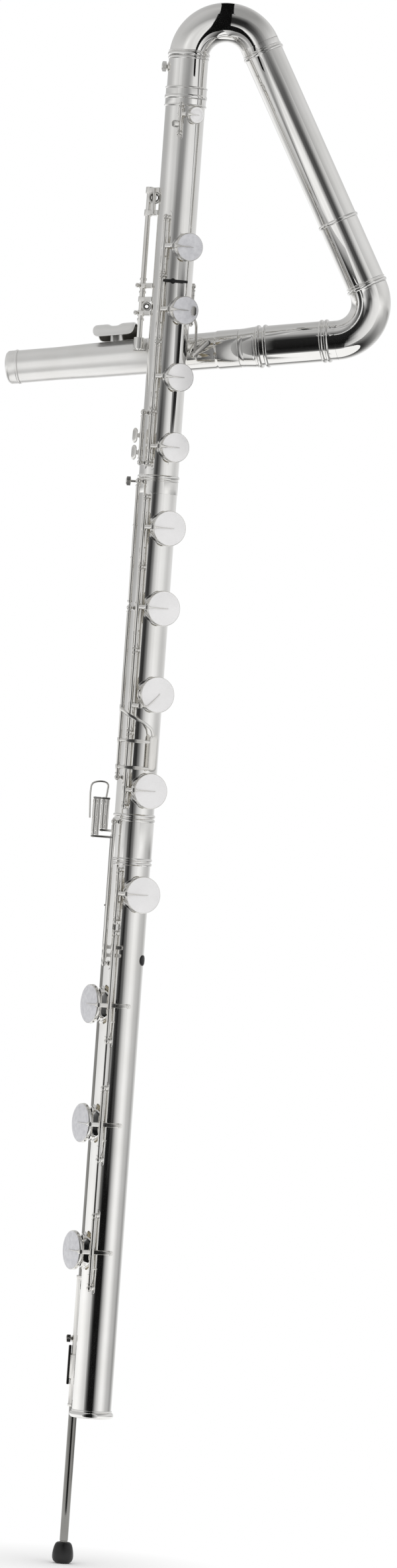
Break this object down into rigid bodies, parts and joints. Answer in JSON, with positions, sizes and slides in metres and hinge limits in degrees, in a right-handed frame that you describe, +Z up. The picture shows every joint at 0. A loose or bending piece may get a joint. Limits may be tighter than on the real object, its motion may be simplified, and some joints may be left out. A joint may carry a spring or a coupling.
{
  "type": "contrabass flute",
  "caption": "Upright contrabass flute: long keyed tube on a sliding floor peg, folded over at the top, with a head joint crossing at mouth height.",
  "frame": {"origin": "centre of the flat underside of the rubber peg foot", "axes": "+Z up along the body, +Y away from the side with the keys, +X towards the fold's diagonal"},
  "size_m": [0.4732, 0.1534, 1.9437],
  "materials": {
    "polished_silver_plate": "polished silver plate on brass",
    "satin_silver_plate": "satin silver plate",
    "blued_steel": "hardened steel rod",
    "pad_skin": "skin over felt",
    "cork": "natural cork",
    "black_rubber": "moulded rubber"
  },
  "bodies": {
    "body": {"upper_body_tube": "polished_silver_plate", "lower_body_tube": "polished_silver_plate", "foot_tube": "polished_silver_plate", "diagonal_tube": "polished_silver_plate", "top_bend": "polished_silver_plate", "lower_bend": "polished_silver_plate", "head_receiver": "polished_silver_plate", "upper_hinge_steel": "blued_steel", "lower_hinge_steel": "blued_steel", "foot_hinge_steel": "blued_steel", "trill_hinge_steel": "blued_steel", "thumb_hinge_steel": "blued_steel", "brace_rod": "polished_silver_plate", "brace_saddle": "satin_silver_plate", "peg_holder": "satin_silver_plate", "side_bumper": "black_rubber"},
    "tuning_slide": {"tuning_slide": "polished_silver_plate"},
    "head": {"head_tube": "polished_silver_plate", "lip_plate": "polished_silver_plate"},
    "crown": {"crown": "polished_silver_plate"},
    "stopper": {"stopper": "cork"},
    "peg": {"peg_rod": "blued_steel", "peg_tip": "black_rubber"},
    "peg_screw": {"peg_screw": "satin_silver_plate"},
    "top_lock_screw": {"top_lock_screw": "satin_silver_plate"},
    "body_lock_screw": {"body_lock_screw": "satin_silver_plate"},
    "trill_key": {"trill_key": "satin_silver_plate", "trill_pad": "pad_skin"},
    "thumb_key": {"thumb_key": "satin_silver_plate", "thumb_pad": "pad_skin"},
    "side_lever": {"side_lever": "satin_silver_plate"},
    "left_lever": {"left_lever": "satin_silver_plate"},
    "outer_lever": {"outer_lever": "satin_silver_plate"},
    "inner_lever": {"inner_lever": "satin_silver_plate"},
    "outer_roller": {"outer_roller": "satin_silver_plate"},
    "inner_roller": {"inner_roller": "satin_silver_plate"},
    "key_01": {"key_01": "satin_silver_plate", "pad_01": "pad_skin"},
    "key_02": {"key_02": "satin_silver_plate", "pad_02": "pad_skin"},
    "key_03": {"key_03": "satin_silver_plate", "pad_03": "pad_skin"},
    "key_04": {"key_04": "satin_silver_plate", "pad_04": "pad_skin"},
    "key_05": {"key_05": "satin_silver_plate", "pad_05": "pad_skin"},
    "key_06": {"key_06": "satin_silver_plate", "pad_06": "pad_skin"},
    "key_07": {"key_07": "satin_silver_plate", "pad_07": "pad_skin"},
    "key_08": {"key_08": "satin_silver_plate", "pad_08": "pad_skin"},
    "key_09": {"key_09": "satin_silver_plate", "pad_09": "pad_skin"},
    "key_10": {"key_10": "satin_silver_plate", "pad_10": "pad_skin"},
    "key_11": {"key_11": "satin_silver_plate", "pad_11": "pad_skin"},
    "key_12": {"key_12": "satin_silver_plate", "pad_12": "pad_skin"}
  },
  "joints": [
    {"name": "key_01_turn", "type": "hinge", "parent": "body", "child": "key_01", "pos_m": [0.00931, -0.05336, 1.6367], "axis": [0, 0, 1], "range_deg": [0, 12], "stiffness_Nm_per_rad": 0.02, "springref_deg": -34.38},
    {"name": "key_02_turn", "type": "hinge", "parent": "body", "child": "key_02", "pos_m": [0.00931, -0.05336, 1.5585], "axis": [0, 0, 1], "range_deg": [0, 12], "stiffness_Nm_per_rad": 0.02, "springref_deg": -34.38},
    {"name": "key_03_turn", "type": "hinge", "parent": "body", "child": "key_03", "pos_m": [0.00931, -0.05336, 1.4755], "axis": [0, 0, 1], "range_deg": [0, 12], "stiffness_Nm_per_rad": 0.02, "springref_deg": -34.38},
    {"name": "key_04_turn", "type": "hinge", "parent": "body", "child": "key_04", "pos_m": [0.00931, -0.05336, 1.3888], "axis": [0, 0, 1], "range_deg": [0, 12], "stiffness_Nm_per_rad": 0.02, "springref_deg": -34.38},
    {"name": "key_05_turn", "type": "hinge", "parent": "body", "child": "key_05", "pos_m": [0.00931, -0.05336, 1.2886], "axis": [0, 0, 1], "range_deg": [0, 12], "stiffness_Nm_per_rad": 0.02, "springref_deg": -34.38},
    {"name": "key_06_turn", "type": "hinge", "parent": "body", "child": "key_06", "pos_m": [0.00931, -0.05336, 1.1895], "axis": [0, 0, 1], "range_deg": [0, 12], "stiffness_Nm_per_rad": 0.02, "springref_deg": -34.38},
    {"name": "key_07_turn", "type": "hinge", "parent": "body", "child": "key_07", "pos_m": [0.00931, -0.05336, 1.0827], "axis": [0, 0, 1], "range_deg": [0, 12], "stiffness_Nm_per_rad": 0.02, "springref_deg": -34.38},
    {"name": "key_08_turn", "type": "hinge", "parent": "body", "child": "key_08", "pos_m": [0.00931, -0.05336, 0.9635], "axis": [0, 0, 1], "range_deg": [0, 12], "stiffness_Nm_per_rad": 0.02, "springref_deg": -34.38},
    {"name": "key_09_turn", "type": "hinge", "parent": "body", "child": "key_09", "pos_m": [0.00931, -0.05336, 0.835], "axis": [0, 0, 1], "range_deg": [0, 12], "stiffness_Nm_per_rad": 0.02, "springref_deg": -34.38},
    {"name": "key_10_turn", "type": "hinge", "parent": "body", "child": "key_10", "pos_m": [0.00931, -0.05336, 0.6962], "axis": [0, 0, 1], "range_deg": [-18, 0], "stiffness_Nm_per_rad": 0.02, "springref_deg": 34.38},
    {"name": "key_11_turn", "type": "hinge", "parent": "body", "child": "key_11", "pos_m": [0.00931, -0.05336, 0.5487], "axis": [0, 0, 1], "range_deg": [-18, 0], "stiffness_Nm_per_rad": 0.02, "springref_deg": 34.38},
    {"name": "key_12_turn", "type": "hinge", "parent": "body", "child": "key_12", "pos_m": [0.00931, -0.05336, 0.3909], "axis": [0, 0, 1], "range_deg": [-18, 0], "stiffness_Nm_per_rad": 0.02, "springref_deg": 34.38},
    {"name": "trill_key_turn", "type": "hinge", "parent": "body", "child": "trill_key", "pos_m": [0.01793, -0.056, 1.8], "axis": [0, 0, 1], "range_deg": [-12, 0], "stiffness_Nm_per_rad": 0.02, "springref_deg": 34.38},
    {"name": "thumb_key_turn", "type": "hinge", "parent": "body", "child": "thumb_key", "pos_m": [0.04888, -0.0045, 1.57], "axis": [0, 0, 1], "range_deg": [0, 9], "stiffness_Nm_per_rad": 0.02, "springref_deg": -34.38},
    {"name": "side_lever_turn", "type": "hinge", "parent": "body", "child": "side_lever", "pos_m": [-0.00145, -0.04526, 1.188], "axis": [0, 0, 1], "range_deg": [0, 6], "stiffness_Nm_per_rad": 0.02, "springref_deg": -34.38},
    {"name": "left_lever_turn", "type": "hinge", "parent": "body", "child": "left_lever", "pos_m": [-0.00145, -0.04526, 1.43], "axis": [0, 0, 1], "range_deg": [-12, 0]},
    {"name": "outer_lever_turn", "type": "hinge", "parent": "body", "child": "outer_lever", "pos_m": [-0.00145, -0.04526, 0.923], "axis": [0, 0, 1], "range_deg": [-7.6, 0]},
    {"name": "inner_lever_turn", "type": "hinge", "parent": "body", "child": "inner_lever", "pos_m": [-0.00145, -0.04526, 0.923], "axis": [0, 0, 1], "range_deg": [-7.6, 0]},
    {"name": "outer_roller_spin", "type": "hinge", "parent": "outer_lever", "child": "outer_roller", "pos_m": [-0.026, -0.049, 0.927], "axis": [0, 0, 1], "continuous": true},
    {"name": "inner_roller_spin", "type": "hinge", "parent": "inner_lever", "child": "inner_roller", "pos_m": [-0.0155, -0.049, 0.931], "axis": [0, 0, 1], "continuous": true},
    {"name": "tuning_slide_pull", "type": "slide", "parent": "body", "child": "tuning_slide", "axis": [-0.9725, 0.1855, -0.1409], "range_m": [0, 0.012]},
    {"name": "head_turn", "type": "hinge", "parent": "tuning_slide", "child": "head", "pos_m": [0.23226, -0.01195, 1.53788], "axis": [-0.9725, 0.1855, -0.1409], "range_deg": [-20, 20]},
    {"name": "crown_turn", "type": "hinge", "parent": "head", "child": "crown", "pos_m": [-0.16024, 0.06292, 1.48101], "axis": [-0.9725, 0.1855, -0.1409], "range_deg": [-720, 720]},
    {"name": "stopper_shift", "type": "slide", "parent": "head", "child": "stopper", "axis": [-0.9725, 0.1855, -0.1409], "range_m": [-0.0016, 0.0016]},
    {"name": "peg_slide", "type": "slide", "parent": "body", "child": "peg", "axis": [0, 0, 1], "range_m": [-0.1, 0.15]},
    {"name": "peg_screw_turn", "type": "hinge", "parent": "body", "child": "peg_screw", "pos_m": [-0.015, 0, 0.279], "axis": [-1, 0, 0], "continuous": true},
    {"name": "top_lock_screw_turn", "type": "hinge", "parent": "body", "child": "top_lock_screw", "pos_m": [-0.0105, -0.024, 1.86], "axis": [-1, 0, 0], "continuous": true},
    {"name": "body_lock_screw_turn", "type": "hinge", "parent": "body", "child": "body_lock_screw", "pos_m": [-0.0105, -0.024, 1.345], "axis": [-1, 0, 0], "continuous": true}
  ],
  "couplings": [
    {"joint": "left_lever_turn", "follows": "key_04_turn", "ratio": -1},
    {"joint": "outer_lever_turn", "follows": "key_10_turn", "ratio": 0.42},
    {"joint": "inner_lever_turn", "follows": "key_12_turn", "ratio": 0.42},
    {"joint": "key_11_turn", "follows": "key_12_turn", "ratio": 1},
    {"joint": "stopper_shift", "follows": "crown_turn", "m_per_rad": 0.000127}
  ]
}
